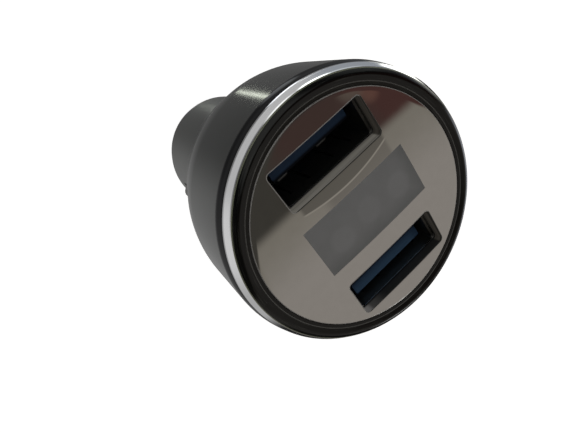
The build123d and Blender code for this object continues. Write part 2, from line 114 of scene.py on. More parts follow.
# %% Wrap the sockets
class Wire:
    """One output of a node, which can be used in sums like a number."""

    def __init__(self, bench, socket):
        self.bench = bench
        self.socket = socket

    def sum(self, operation, first, second):
        return self.bench.node("ShaderNodeMath", {0: first, 1: second}, operation=operation)

    def __add__(self, other):
        return self.sum("ADD", self, other)

    def __sub__(self, other):
        return self.sum("SUBTRACT", self, other)

    def __rsub__(self, other):
        return self.sum("SUBTRACT", other, self)

    def __mul__(self, other):
        return self.sum("MULTIPLY", self, other)

    def __pow__(self, other):
        return self.sum("POWER", self, other)

    __radd__ = __add__
    __rmul__ = __mul__


class Bench:
    """A node tree to build on."""

    def __init__(self, tree):
        self.tree = tree
        tree.nodes.clear()

    def node(self, kind, values=None, output=0, **settings):
        made = self.tree.nodes.new(kind)
        for name, setting in settings.items():
            setattr(made, name, setting)
        for name, value in (values or {}).items():
            if isinstance(value, Wire):
                self.tree.links.new(value.socket, made.inputs[name])
            else:
                made.inputs[name].default_value = value
        return Wire(self, made.outputs[output]) if len(made.outputs) else made

    def ease(self, value, low, high):
        """A soft step from 0 at low to 1 at high."""
        steps = {"Value": value, "From Min": low, "From Max": high}
        return self.node("ShaderNodeMapRange", steps, interpolation_type="SMOOTHSTEP")

    def blend(self, share, first, second):
        """A colour between two others."""
        return self.node("ShaderNodeMix", {0: share, 6: first, 7: second}, output=2, data_type="RGBA")

    def split(self, vector, axis):
        """One part of a vector."""
        return self.node("ShaderNodeSeparateXYZ", {0: vector}, output=axis)

    def size(self, value):
        """A number without its sign."""
        return self.node("ShaderNodeMath", {0: value}, operation="ABSOLUTE")

    def larger(self, first, second):
        """The larger of two numbers."""
        return self.node("ShaderNodeMath", {0: first, 1: second}, operation="MAXIMUM")

    def noise(self, vector, size, detail):
        """Soft noise whose lumps are about size metres across."""
        return self.node("ShaderNodeTexNoise", {"Vector": vector, "Scale": 1 / size, "Detail": detail})

    def stretched_noise(self, x, y, z):
        """Noise on three measures of their own, so that its lumps can be long in one direction."""
        vector = self.node("ShaderNodeCombineXYZ", {"X": x, "Y": y, "Z": z})
        return self.node("ShaderNodeTexNoise", {"Vector": vector, "Scale": 1.0, "Detail": 3.0})

    def bump(self, height, depth):
        """A normal shaken by a height of 0 to 1 that stands for depth metres."""
        return self.node("ShaderNodeBump", {"Height": height, "Distance": depth})


print("socket class ready")

# %% [markdown]
# ## Floor and backdrop
# The photograph has a plain white ground all round. A white floor under the plug gives that in the main
# view, and a large white dome gives the same ground to a camera that looks across the floor. Both glow a
# little, so they stay white, and glossy rays pass them by, because the shine on the plug comes from the
# room of soft light below.

# %% Lay the floor and the backdrop
floor_gap = 0.5 * mm
floor_radius = 0.5
dome_radius = 3.0
floor_glow = 0.9
dome_glow = 1.3


def stage_material(name, glow):
    """Plain white that also glows."""
    material = bpy.data.materials.new(name)
    material.use_nodes = True
    bench = Bench(material.node_tree)
    values = {"Base Color": (0.9, 0.9, 0.9, 1.0), "Roughness": 0.9, "Emission Color": (1, 1, 1, 1)}
    shader = bench.node("ShaderNodeBsdfPrincipled", {**values, "Emission Strength": glow})
    bench.node("ShaderNodeOutputMaterial", {"Surface": shader})
    return material


def stage_piece(name, bm, glow):
    """A piece of the studio that the camera sees and the plug's shine doesn't."""
    mesh = bpy.data.meshes.new(name)
    bm.to_mesh(mesh)
    bm.free()
    piece = bpy.data.objects.new(name, mesh)
    bpy.context.scene.collection.objects.link(piece)
    mesh.materials.append(stage_material(name, glow))
    piece.visible_glossy = False
    piece.visible_shadow = False
    piece.visible_diffuse = False
    piece.visible_transmission = False
    piece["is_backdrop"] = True


floor_height = cad_box[0].z - floor_gap
bm = bmesh.new()
bmesh.ops.create_circle(bm, cap_ends=True, segments=96, radius=floor_radius)
bmesh.ops.translate(bm, verts=bm.verts, vec=(0, 0, floor_height))
stage_piece("floor", bm, floor_glow)
bm = bmesh.new()
bmesh.ops.create_icosphere(bm, subdivisions=4, radius=dome_radius)
stage_piece("backdrop", bm, dome_glow)
print("floor height in mm:", round(floor_height / mm, 2))

# %% [markdown]
# ## A room of soft light
# Dark satin metal and a mirror show little of their own: what is seen on them is the room. Area lights
# could draw it, but their edges are hard in a mirror. The room here is the world's background instead,
# whose colour is worked out from the direction alone. A direction's three parts give bands, and how far it
# leans towards an axis gives a soft round patch.

# %% Start the room
def grey(level):
    """A neutral light of one level."""
    return (level, level, level, 1)


def facing(bench, direction, axis):
    """How far a direction leans towards an axis, from -1 to 1."""
    values = {0: direction, 1: Vector(axis).normalized()}
    return bench.node("ShaderNodeVectorMath", values, output=1, operation="DOT_PRODUCT")


def panel_share(bench, direction, axis, inner, outer):
    """1 inside a soft round panel, 0 outside it, with its inner and outer angles in degrees."""
    gone, full = (math.cos(math.radians(angle)) for angle in (outer, inner))
    return bench.ease(facing(bench, direction, axis), gone, full)


def add_light(bench, first, second):
    """Two lights added up."""
    settings = {"data_type": "RGBA", "blend_type": "ADD", "clamp_result": False}
    return bench.node("ShaderNodeMix", {0: 1.0, 6: first, 7: second}, output=2, **settings)


world = bpy.data.worlds.new("room")
bpy.context.scene.world = world
world.use_nodes = True
bench = Bench(world.node_tree)
direction = bench.node("ShaderNodeTexCoord", output="Generated")
across, depth, height = (bench.split(direction, axis) for axis in (0, 1, 2))
bpy.context.scene.view_settings.view_transform = "Standard"
print("world:", world.name)

# %% [markdown]
# ### Ground, horizon and ceiling
# Three bands are blended by height: a dim ground, a rim along the horizon, and a ceiling that is brown
# overhead and pale where it comes down on the far side. The edge between brown and pale is what crosses the
# mirrored face. Each band is itself blended across or in depth, because the head is darker on one side than
# on the other.

# %% Blend the bands
ground_top = (-0.80, -0.58)
ceiling_foot = (0.0, 0.18)
far_rim_dark = (-0.60, -0.38)
brown_edge = -0.403
brown_slant = 0.07

ground_share = bench.ease(across * -0.8 - depth * 0.6, -0.05, 0.30)
ground = bench.blend(ground_share, grey(0.15), grey(0.33))
rim = bench.blend(bench.ease(depth, -0.45, -0.05), grey(0.42), grey(0.62))
rim = bench.blend(bench.ease(depth, 0.40, 0.70), rim, grey(0.48))
rim = bench.blend(bench.ease(across, 0.45, 0.75), rim, (0.29, 0.31, 0.34, 1))
rim = bench.blend(bench.ease(depth - across * 0.35, *far_rim_dark), grey(0.02), rim)
brown_side = depth - across * brown_slant - brown_edge
pale = bench.blend(bench.ease(brown_side, -0.20, -0.01), (0.275, 0.255, 0.235, 1), (0.205, 0.19, 0.165, 1))
brown = bench.blend(bench.ease(across, 0.07, 0.22), (0.046, 0.043, 0.037, 1), (0.052, 0.033, 0.029, 1))
brown = bench.blend(bench.ease(across, 0.46, 0.53), brown, (0.062, 0.030, 0.027, 1))
brown = bench.blend(bench.ease(depth, -0.12, 0.20), brown, (0.025, 0.025, 0.026, 1))
ceiling = bench.blend(bench.ease(brown_side, -0.02, 0.02), pale, brown)
room = bench.blend(bench.ease(height, *ground_top), ground, rim)
room = bench.blend(bench.ease(height, *ceiling_foot), room, ceiling)
print("ground up to:", ground_top, "ceiling from:", ceiling_foot)

# %% [markdown]
# ### Windows and lamps
# Soft panels are added on top, each a patch round an axis that is bright inside one angle and gone at
# another. Their names say where they are as the camera sees the plug. The highlight that leans across the
# head's upper left comes from a strip lamp: a patch of which only a thin slice, square to a second axis, is
# lit.

# %% Add the panels
panels = [
    ("window behind the upper left", (0.330, 0.520, -0.780), 4, 12, (1.2, 1.25, 1.3)),
    ("lamp behind the upper right", (0.850, -0.060, -0.520), 5, 13, (2.2, 2.2, 2.0)),
    ("white wall at the upper right", (0.960, -0.130, -0.250), 5, 15, (1.1, 1.1, 1.05)),
    ("wide wall at the top", (0.860, 0.470, 0.120), 8, 24, (0.32, 0.34, 0.33)),
    ("small lamp at the lower right", (0.125, -0.955, 0.270), 2.0, 9.0, (4.0, 4.1, 4.1)),
    ("lamp at the top", (0.620, 0.780, 0.050), 4, 14, (2.2, 2.3, 2.2)),
    ("soft ceiling behind the camera", (0.000, 0.550, 0.830), 18, 36, (0.42, 0.42, 0.40)),
    ("bright wall at the top left", (0.200, 0.950, 0.220), 6, 18, (0.9, 0.92, 0.9)),
    ("dim wall on the right", (0.650, -0.700, -0.150), 12, 26, (0.75, 0.78, 0.85)),
    ("pale patch in the brown", (0.478, -0.200, 0.855), 1.0, 3.6, (0.045, 0.042, 0.034)),
    ("warm patch in the brown", (0.517, -0.252, 0.818), 0.6, 2.6, (0.050, 0.026, 0.018)),
]
for title, axis, inner, outer, colour in panels:
    light = bench.blend(panel_share(bench, direction, axis, inner, outer), grey(0), (*colour, 1))
    room = add_light(bench, room, light)
    print("panel:", title)

lamp_axis = (0.256, 0.290, -0.922)
lamp_angles = (1, 7.2)
lamp_side = (0.946, -0.271, 0.178)
lamp_slice = (0.003, 0.014)
lamp_colour = (5.6, 5.9, 5.1, 1)
lamp_share = 1 - bench.ease(bench.size(facing(bench, direction, lamp_side)), *lamp_slice)
lamp_share = lamp_share * panel_share(bench, direction, lamp_axis, *lamp_angles)
room = add_light(bench, room, bench.blend(lamp_share, grey(0), lamp_colour))
background = bench.node("ShaderNodeBackground", {"Color": room, "Strength": 1.0})
bench.node("ShaderNodeOutputWorld", {"Surface": background})
print("strip lamp out to:", lamp_angles[1], "degrees")

# %% [markdown]
# ## Finishes
# Each finish is a function that gives the values of one Principled shader. What is the same all over goes
# straight onto the shader's socket. What varies is a sum of noise on Object coordinates, which are the
# part's own metres, so a grain of 0.1 mm is written as 0.1 mm.

# %% Make a finish
def finish(name, constants, vary, share=None, second_constants=None, second_vary=None):
    """A material from constants and what vary gives, with a second pair of both where share is 1."""
    material = bpy.data.materials.new(name)
    material.use_nodes = True
    bench = Bench(material.node_tree)
    place = bench.node("ShaderNodeTexCoord", output="Object")
    shader = bench.node("ShaderNodeBsdfPrincipled", {**constants, **vary(bench, place)})
    if share:
        second = bench.node("ShaderNodeBsdfPrincipled", {**second_constants, **second_vary(bench, place)})
        shader = bench.node("ShaderNodeMixShader", {0: share(bench, place), 1: shader, 2: second})
    bench.node("ShaderNodeOutputMaterial", {"Surface": shader})
    print("finish:", name)
    return material


cloud_size = 1.5 * mm
roughness_spread = 0.06


def grained(dark, light, roughness, grain=0.12 * mm, depth=0.002 * mm):
    """A surface that is a little uneven in colour and shine, with a fine grain."""

    def vary(bench, place):
        cloud = bench.noise(place, cloud_size, 4.0)
        return {
            "Base Color": bench.blend(cloud, (*dark, 1), (*light, 1)),
            "Roughness": roughness - roughness_spread / 2 + cloud * roughness_spread,
            "Normal": bench.bump(bench.noise(place, grain, 3.0), depth),
        }

    return vary


print("cloud size in mm:", round(cloud_size / mm, 2))

# %% [markdown]
# ### Satin shell with a shoulder of painted shade
# The head is a dark shell with a fine satin grain. Its rounded front shoulder is polished, and its
# near-black colour there is painted shade, so it shows as a glossy black band. Two materials would leave a
# hard line between them, so one material changes with height.

# %% Finish the head and the barrel
shoulder_start = 19.30 * mm
shoulder_end = 19.85 * mm
satin_grain = 0.09 * mm


def satin_head(bench, place):
    """Satin metal below the shoulder, glossy black above it, where the black is painted shade."""
    # Over the shoulder the colour turns to painted shade: near-black and glossy instead of satin metal.
    painted_shade_share = bench.ease(bench.split(place, 2), shoulder_start, shoulder_end)
    cloud = bench.noise(place, 3 * mm, 4.0)
    satin = bench.blend(cloud, (0.144, 0.147, 0.140, 1), (0.164, 0.167, 0.160, 1))
    grain = bench.noise(place, satin_grain, 3.0)
    return {
        "Base Color": bench.blend(painted_shade_share, satin, (0.006, 0.006, 0.007, 1)),
        "Metallic": 1 - painted_shade_share,
        "Roughness": (0.15 + cloud * 0.04) * (1 - painted_shade_share) + painted_shade_share * 0.08,
        "Normal": bench.bump(grain * (1 - painted_shade_share), 0.0005 * mm),
    }


head_finish = finish("satin_head", {"Specular IOR Level": 0.14}, satin_head)
barrel_look = grained((0.205, 0.208, 0.20), (0.23, 0.233, 0.225), 0.34, satin_grain, 0.0008 * mm)
barrel_finish = finish("satin_barrel", {"Metallic": 1.0}, barrel_look)

# %% [markdown]
# ### Polished ring and black bezel
# The silver ring is polished metal. The bezel is glossy black plastic with faint turning marks, made by a
# noise that is stretched round the ring. A thin pale ring near the face is a painted highlight on the
# bezel's inner edge.

# %% Finish the ring and the bezel
def from_axis(bench, place):
    """The distance of a point from the plug's axis."""
    x, y = bench.split(place, 0), bench.split(place, 1)
    return (x * x + y * y) ** 0.5


def around(bench, place, fine, coarse):
    """Noise that is fine across a ring and long round it."""
    x, y, z = (bench.split(place, axis) for axis in (0, 1, 2))
    angle = bench.node("ShaderNodeMath", {0: y, 1: x}, operation="ARCTAN2")
    return bench.stretched_noise(from_axis(bench, place) * (1 / fine), angle * coarse, z * (1 / fine))


def polished(bench, place):
    """Bright metal with hairline turning marks."""
    marks = around(bench, place, 0.08 * mm, 6.0)
    return {
        "Base Color": bench.blend(marks, (0.82, 0.82, 0.83, 1), (0.92, 0.92, 0.92, 1)),
        "Roughness": 0.06 + marks * 0.08,
        "Normal": bench.bump(marks, 0.0004 * mm),
    }


painted_highlight_radius = 14.08 * mm
pale_edge_radius = 15.34 * mm


def black_gloss(bench, place):
    """Black plastic with streaks round it, a pale outer edge and one painted highlight line near the face.
    """
    radius = from_axis(bench, place)
    marks = around(bench, place, 0.10 * mm, 2.0)
    streaks = bench.ease(around(bench, place, 0.16 * mm, 5.0), 0.52, 0.72)
    base = bench.blend(streaks, (0.004, 0.004, 0.004, 1), (0.035, 0.036, 0.033, 1))
    # This thin pale ring is a painted highlight on the bezel's edge, not a mark in the plastic.
    painted_highlight_line = 1 - bench.ease(bench.size(radius - painted_highlight_radius), 0.03 * mm, 0.07 * mm)
    base = bench.blend(painted_highlight_line, base, (0.16, 0.16, 0.155, 1))
    outer_edge = bench.ease(radius, pale_edge_radius, pale_edge_radius + 0.06 * mm)
    return {
        "Base Color": bench.blend(outer_edge, base, (0.30, 0.32, 0.23, 1)),
        "Roughness": 0.08 + marks * 0.14,
        "Normal": bench.bump(marks, 0.004 * mm),
    }


ring_finish = finish("polished_ring", {"Metallic": 1.0}, polished)
bezel_finish = finish("black_bezel", {"IOR": 1.5}, black_gloss)

# %% [markdown]
# ### Mirrored face
# The face is acrylic whose front is mirrored all over but for the clear window of the display. It could be
# cut into a mirror, a window and slot walls with a material each, but then each edge between them is as
# hard as a cut. Here one material works out what lies where from the position alone. For that it measures
# how far a point is outside the slots, how deep it is under the front, and whether it is in the window.

# %% Measure from the slots and the window
slot_width = 13.2 * mm
slot_height = 5.17 * mm
slot_corner = 0.5 * mm
port_offset = 8.46 * mm
window_width = 14.9 * mm
window_height = 6.66 * mm
window_shift = 0.3 * mm
face_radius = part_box("face_lens")[1].x
face_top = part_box("face_lens")[1].z
face_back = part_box("face_lens")[0].z
crown_radius = 143.0  # in mm
dome_sag = -1 / (2 * crown_radius * mm)


def from_port(bench, place):
    """The height of a point over the middle of the nearer slot, along y."""
    y = bench.split(place, 1)
    return y + port_offset - bench.ease(y, -0.1 * mm, 0.1 * mm) * (2 * port_offset)


def beyond_slot(bench, place):
    """How far a point is outside the nearer slot's rounded outline."""
    side_x = bench.size(bench.split(place, 0)) - (slot_width / 2 - slot_corner)
    side_y = bench.size(from_port(bench, place)) - (slot_height / 2 - slot_corner)
    side_x, side_y = bench.larger(side_x, 0.0), bench.larger(side_y, 0.0)
    return (side_x * side_x + side_y * side_y) ** 0.5 - slot_corner


def under_front(bench, place):
    """How deep a point lies under the domed front."""
    radius = from_axis(bench, place)
    return face_top + radius * radius * dome_sag - bench.split(place, 2)


def in_window(bench, place):
    """1 inside the display's window, 0 elsewhere."""
    side_x = bench.size(bench.split(place, 0) - window_shift) - window_width / 2
    side_y = bench.size(bench.split(place, 1)) - window_height / 2
    return 1 - bench.ease(bench.larger(side_x, side_y), -0.03 * mm, 0.03 * mm)


print("window in mm:", round(window_width / mm, 2), "by", round(window_height / mm, 2))

# %% [markdown]
# ### Slot walls
# The slots' walls carry painted light: their emission stands in for the light that falls on them, pale in
# the upper slot and dimmed as painted shade in the lower one and at the right ends. A lamp in each slot
# would light the ports as well, so the walls' own emission is used. Its fine level lines come from a noise
# that is squeezed in height.

# %% Light the slot walls
level_stretch = 60
level_squeeze = 7000
right_end = 6.0 * mm


def painted_wall_light(bench, place):
    """Painted light on a slot's walls: pale in the upper slot, with painted shade that dims the lower one
    and the right end, and none on the far walls or near the back.
    """
    x, y, z = (bench.split(place, axis) for axis in (0, 1, 2))
    lines = bench.stretched_noise(x * level_stretch, y * level_stretch, z * level_squeeze)
    lines = bench.ease(lines, 0.35, 0.65)
    # The wall colours here are painted light and painted shade, given out as emission.
    pale = bench.blend(lines, (0.055, 0.052, 0.045, 1), (0.115, 0.109, 0.096, 1))
    dim = bench.blend(lines, (0.010, 0.009, 0.007, 1), (0.028, 0.025, 0.021, 1))
    on_right = bench.ease(x, right_end, right_end + 0.3 * mm)
    # The lower slot's near wall is painted dark as shade, with a paler painted glow towards its left end.
    corner = bench.blend(bench.ease(x * -1, 3.0 * mm, 5.6 * mm), grey(0.003), (0.026, 0.025, 0.024, 1))
    corner = bench.blend(bench.ease(x * -1, 5.4 * mm, 6.1 * mm), corner, (0.090, 0.086, 0.084, 1))
    lower, upper = bench.blend(on_right, corner, dim), bench.blend(on_right, pale, dim)
    walls = bench.blend(bench.ease(y, -1 * mm, 1 * mm), lower, upper)
    # Only the near walls, away from the back, get the painted light; the rest is left black as painted
    # shade.
    on_near_side = bench.larger(on_right, bench.ease(from_port(bench, place) * -1, 2 * mm, 2.4 * mm))
    lit = on_near_side * bench.ease(z, face_back + 0.10 * mm, face_back + 0.45 * mm)
    return bench.blend(lit, grey(0), walls)


print("level lines per mm:", level_squeeze * mm)

# %% [markdown]
# ### Glue
# Glue has spread in a flat arc below the upper slot and dulls the mirror there. Its edge catches the light
# as a bright line, and beyond it lies a thinner film. The arc is a parabola, so how far a point is beyond
# it is a short sum.

# %% Spread the glue
arc_low = 4.24 * mm
arc_middle = -0.3 * mm
arc_bend = 20.5
glue_middle = 0.3 * mm
glue_reach = 6.1 * mm
glue_top = 5.9 * mm


def glue_arc(bench, place):
    """The shares of spread glue, of the line at its edge and of the thin film beyond it."""
    x, y = bench.split(place, 0), bench.split(place, 1)
    beyond = y - (arc_low + (x - arc_middle) ** 2 * arc_bend)
    near = 1 - bench.ease(bench.size(x - glue_middle), glue_reach - 0.3 * mm, glue_reach + 0.3 * mm)
    glue = bench.ease(beyond, 0.0, 0.1 * mm) * (1 - bench.ease(y, glue_top - 0.1 * mm, glue_top + 0.1 * mm))
    line = 1 - bench.ease(bench.size(beyond), 0.05 * mm, 0.14 * mm)
    thin = bench.ease(y, 3.0 * mm, 3.5 * mm) * (1 - bench.ease(beyond, -0.1 * mm, 0.0))
    thin = thin * bench.ease(x, -4.0 * mm, -2.0 * mm)
    return glue * near, line * near, thin * near


print("glue from", round(arc_low / mm, 2), "to", round(glue_top / mm, 2), "mm above the middle")

# %% [markdown]
# ### Mirror and window
# One Principled shader carries the wavy mirror, the glue, the hairlines at the slots' edges and the slots'
# walls. A second, smoky one takes over inside the window: the display is off, so only the faint ghosts of
# its three digits show.

# %% Finish the mirrored face
mirror_colours = ((0.74, 0.73, 0.71, 1), (0.80, 0.79, 0.77, 1))
pale_edge = (0.55, 0.54, 0.53, 1)
smear_size = 1.2 * mm


def mirrored_face(bench, place):
    """A mirror that waves a little, with its glue arc, hairlines, slot walls that glow with painted light,
    and dull back.
    """
    radius = from_axis(bench, place)
    outside = beyond_slot(bench, place)
    wall = 1 - bench.ease(outside, 0.01 * mm, 0.03 * mm)
    wall = wall * bench.ease(under_front(bench, place), 0.02 * mm, 0.05 * mm)
    left_end = bench.ease(bench.split(place, 0) * -1, 6 * mm, 6.4 * mm)
    far_side = bench.larger(bench.ease(from_port(bench, place), 2.2 * mm, 2.4 * mm), left_end)
    hairline = bench.blend(far_side, (0.06, 0.06, 0.055, 1), pale_edge)
    edge = (1 - bench.ease(outside, 0.07 * mm, 0.12 * mm)) * (1 - wall)
    rim = bench.ease(radius, face_radius - 0.13 * mm, face_radius - 0.09 * mm)
    back = 1 - bench.ease(bench.split(place, 2), face_back + 0.02 * mm, face_back + 0.05 * mm)
    glue, glue_line, thin_glue = glue_arc(bench, place)
    smear = bench.noise(place, smear_size, 4.0)
    colour = bench.blend(smear, *mirror_colours)
    colour = bench.blend(glue, colour, (0.43, 0.425, 0.415, 1))
    colour = bench.blend(thin_glue, colour, (0.57, 0.56, 0.55, 1))
    colour = bench.blend(glue_line, colour, (0.98, 0.97, 0.95, 1))
    colour = bench.blend(edge, colour, hairline)
    colour = bench.blend(rim, colour, pale_edge)
    colour = bench.blend(wall, colour, grey(0.02))
    colour = bench.blend(back, colour, grey(0.30))
    dull = bench.larger(bench.larger(edge, rim), bench.larger(wall, back))
    return {
        "Base Color": colour,
        "Metallic": 1 - dull,
        "Roughness": 0.02 + smear * 0.05 + dull * 0.4,
        "Emission Color": bench.blend(wall, grey(0), painted_wall_light(bench, place)),
        "Normal": bench.bump(bench.noise(place, 6 * mm, 2.0), 0.004 * mm),
    }


digit_places = ((5.05 * mm, -0.3 * mm), (0.5 * mm, 0.0), (-3.9 * mm, -0.5 * mm))
digit_radius = 1.7 * mm


def window(bench, place):
    """Smoked plastic with the ghosts of three unlit digits, dimmer towards its right and lower edges."""
    x, y = bench.split(place, 0), bench.split(place, 1)
    ghost = 0.0
    for digit_x, digit_y in digit_places:
        away = ((x - digit_x) ** 2 + (y - digit_y) ** 2) ** 0.5
        ghost = (1 - bench.ease(away, digit_radius * 0.7, digit_radius * 1.1)) + ghost
    cloud = bench.noise(place, 2 * mm, 3.0)
    dim = bench.larger(bench.ease(x, 5.5 * mm, 8.4 * mm), bench.ease(y * -1, 1.0 * mm, 4.0 * mm))
    tone = 0.32 + ghost * 0.22 + cloud * 0.4 - dim * 0.60
    return {
        "Base Color": bench.blend(tone, (0.33, 0.34, 0.35, 1), (0.52, 0.53, 0.55, 1)),
        "Roughness": 0.25 + cloud * 0.1,
    }


smoky = {"Transmission Weight": 0.06, "IOR": 1.49}
face_finish = finish("mirrored_face", {"Emission Strength": 1.0}, mirrored_face, in_window, smoky, window)

# %% [markdown]
# ### Film and filter
# Behind the face lies a film that backs the mirror, and behind the window a smoked filter. They show only
# faintly, so a mirror with a little smear and a cloudy grey are enough.

# %% Finish the film and the filter
def film(bench, place):
    """Mirror film with a faint smear."""
    smear = bench.noise(place, smear_size, 4.0)
    return {"Base Color": bench.blend(smear, *mirror_colours), "Roughness": 0.04 + smear * 0.08}


film_finish = finish("mirror_film", {"Metallic": 1.0}, film)
filter_finish = finish("smoked_filter", {}, grained((0.26, 0.262, 0.264), (0.36, 0.355, 0.36), 0.35))

# %% [markdown]
# ### Everything behind the face and down the plug
# These finishes share one recipe, an uneven colour with a fine grain, and differ in their colours and
# shine.

# %% Finish the inner pieces
finishes = {
    "head": head_finish,
    "trim": ring_finish,
    "bezel": bezel_finish,
    "lens": face_finish,
    "mirror": film_finish,
    "smoke": filter_finish,
    "barrel": barrel_finish,
}
tongue_front = 18 * mm


def moulded_blue(bench, place):
    """Blue plastic with painted light and shade at the tongues' fronts: the lower tongue is painted paler,
    less so at its right end, and each tongue's inner side is painted near-black as shade.
    """
    x, y, z = (bench.split(place, axis) for axis in (0, 1, 2))
    values = grained((0.045, 0.090, 0.18), (0.060, 0.115, 0.23), 0.4)(bench, place)
    # The paler blue on the lower tongue's front is painted light.
    pale = bench.ease(y * -1, 8.5 * mm, 9.9 * mm) * (1 - 0.8 * bench.ease(x, 3.8 * mm, 5.5 * mm))
    front = bench.ease(z, tongue_front, tongue_front + 0.5 * mm)
    colour = bench.blend(pale * front, values["Base Color"], (0.12, 0.235, 0.42, 1))
    # The near-black on each tongue's inner side at the front is painted shade.
    shade = front * (1 - bench.ease(bench.size(y), 8.6 * mm, 9.0 * mm))
    return {**values, "Base Color": bench.blend(shade, colour, (0.004, 0.008, 0.015, 1))}


finishes["port_blue"] = finish("port_blue", {"Specular IOR Level": 0.15}, moulded_blue)
plain_finishes = {
    "display": ((0.12, 0.12, 0.125), (0.15, 0.15, 0.155), 0.5, {}),
    "display_bars": ((0.36, 0.36, 0.34), (0.45, 0.45, 0.43), 0.6, {}),
    "frame": ((0.015, 0.015, 0.016), (0.025, 0.025, 0.026), 0.6, {}),
    "port_shell": ((0.22, 0.217, 0.205), (0.28, 0.275, 0.262), 0.45, {"Metallic": 1.0}),
    # The contacts' gold is painted dark as shade, far below the colour of real plating.
    "contact": ((0.13, 0.095, 0.045), (0.19, 0.145, 0.075), 0.5, {"Metallic": 1.0}),
    "board": ((0.015, 0.12, 0.045), (0.025, 0.17, 0.07), 0.45, {}),
    "chip": ((0.015, 0.015, 0.017), (0.028, 0.028, 0.03), 0.55, {}),
    "steel": ((0.5, 0.5, 0.5), (0.64, 0.64, 0.63), 0.3, {"Metallic": 1.0}),
    "ferrite": ((0.04, 0.04, 0.042), (0.065, 0.065, 0.067), 0.7, {}),
    "copper": ((0.62, 0.26, 0.12), (0.78, 0.38, 0.2), 0.3, {"Metallic": 1.0}),
    "can": ((0.04, 0.04, 0.08), (0.07, 0.07, 0.12), 0.35, {}),
    "brass": ((0.68, 0.5, 0.22), (0.82, 0.64, 0.34), 0.3, {"Metallic": 1.0}),
    "nose": ((0.02, 0.02, 0.021), (0.032, 0.032, 0.033), 0.5, {}),
    "spring_metal": ((0.64, 0.63, 0.61), (0.76, 0.75, 0.73), 0.2, {"Metallic": 1.0}),
}
for slot_name, (dark, light, roughness, constants) in plain_finishes.items():
    finishes[slot_name] = finish(slot_name, constants, grained(dark, light, roughness))

# %% [markdown]
# ## Turning an outline
# A turned piece is an outline spun about the axis, as on a lathe. The outline is first a flat face whose
# corners the bevel operator can round, because a corner is easier to round before it is a ring. Edges that
# are still sharp after that are marked, so that the smooth shading stops there.

# %% Spin outlines into pieces
spin_steps = 192
sharp_angle = math.radians(28)


def start_outline(points):
    """A flat face in the plane y = 0 from (radius, height) points in mm."""
    bm = bmesh.new()
    corners = [bm.verts.new((radius * mm, 0, height * mm)) for radius, height in points]
    bm.faces.new(corners)
    return bm, corners


def round_corner(bm, corner, reach, segments):
    """Round one corner of the flat face; reach is how far the round runs along each edge, in mm."""
    bmesh.ops.bevel(
        bm, geom=[corner], offset=reach * mm, segments=segments, profile=0.5, affect="VERTICES",
        offset_type="OFFSET", clamp_overlap=False, material=-1,
    )


def turn(bm):
    """Spin the flat face's outline into a closed ring."""
    bmesh.ops.delete(bm, geom=bm.faces[:], context="FACES_ONLY")
    bmesh.ops.spin(
        bm, geom=bm.edges[:], cent=(0, 0, 0), axis=(0, 0, 1), angle=2 * math.pi, steps=spin_steps,
        use_merge=True,
    )
    bmesh.ops.remove_doubles(bm, verts=bm.verts, dist=0.0005 * mm)
    bmesh.ops.dissolve_degenerate(bm, dist=0.0005 * mm, edges=bm.edges)
    bmesh.ops.recalc_face_normals(bm, faces=bm.faces)


def shade(bm):
    """Smooth shading that stops at the sharp edges."""
    for face in bm.faces:
        face.smooth = True
    for edge in bm.edges:
        edge.smooth = len(edge.link_faces) == 2 and edge.calc_face_angle() < sharp_angle


def place_piece(name, bm, slot_name, body, *replaced):
    """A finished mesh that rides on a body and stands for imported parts."""
    shade(bm)
    mesh = bpy.data.meshes.new(name)
    bm.to_mesh(mesh)
    bm.free()
    piece = bpy.data.objects.new(name, mesh)
    bpy.context.scene.collection.objects.link(piece)
    mesh.materials.append(finishes[slot_name])
    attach(piece, body)
    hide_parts(*replaced)
    print(name, "faces:", len(mesh.polygons), "box in mm:", [round(x / mm, 2) for x in piece.dimensions])
    return piece


print("steps in a turn:", spin_steps)

# %% [markdown]
# ## The head
# The real head is one shell with a coned back, a side that widens a little towards the face, and a rounded
# shoulder. The waist between cone and side is so soft that it shows only as a bend in the highlight.

# %% Turn the head
head_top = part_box("head_shell")[1].z / mm
head_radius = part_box("head_shell")[1].x / mm
rim_radius = head_radius - 0.27
neck_radius = 10.25
back_radius = 13.9
waist = (16.02, 8.2)
shoulder = (head_radius + 0.015, 20.335)
bore_radius = 14.45
seat_radius = 12.6
seat_height = 6.0
shell_floor = 1.6
back_round, waist_round, shoulder_round = 0.35, 1.85, 0.70

bm, corners = start_outline([
    (neck_radius, 0), (back_radius, 0), waist, shoulder, (rim_radius, head_top), (bore_radius, head_top),
    (bore_radius, seat_height), (seat_radius, seat_height), (seat_radius, shell_floor),
    (neck_radius, shell_floor),
])
round_corner(bm, corners[1], back_round, 5)
round_corner(bm, corners[2], waist_round, 12)
round_corner(bm, corners[3], shoulder_round, 14)
turn(bm)
place_piece("outer_shell", bm, "head", "housing", "head_shell")

# %% [markdown]
# ## The silver ring and the black bezel
# The ring rises nearly upright from the head's rim, rolls over and slopes in to the bezel, with one fine
# groove at the end of the roll. On a plain cone the whole face would be equally bright. The roll lets the
# highlight fade out towards the head, and the narrow lip at the top gives the thin second line. The bezel's
# lip covers the ring's inner edge, rises to a soft crown and slants down to the lens.

# %% Turn the ring and the bezel
ring_low = head_top
ring_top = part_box("trim_ring")[1].z / mm
ring_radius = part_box("trim_ring")[1].x / mm
ring_lip_radius = 15.5
ring_inner_radius = 15.0
roll_height = 0.30
groove_width = 0.09
groove_depth = 0.02
lip_width = 0.10
lip_height = 0.13

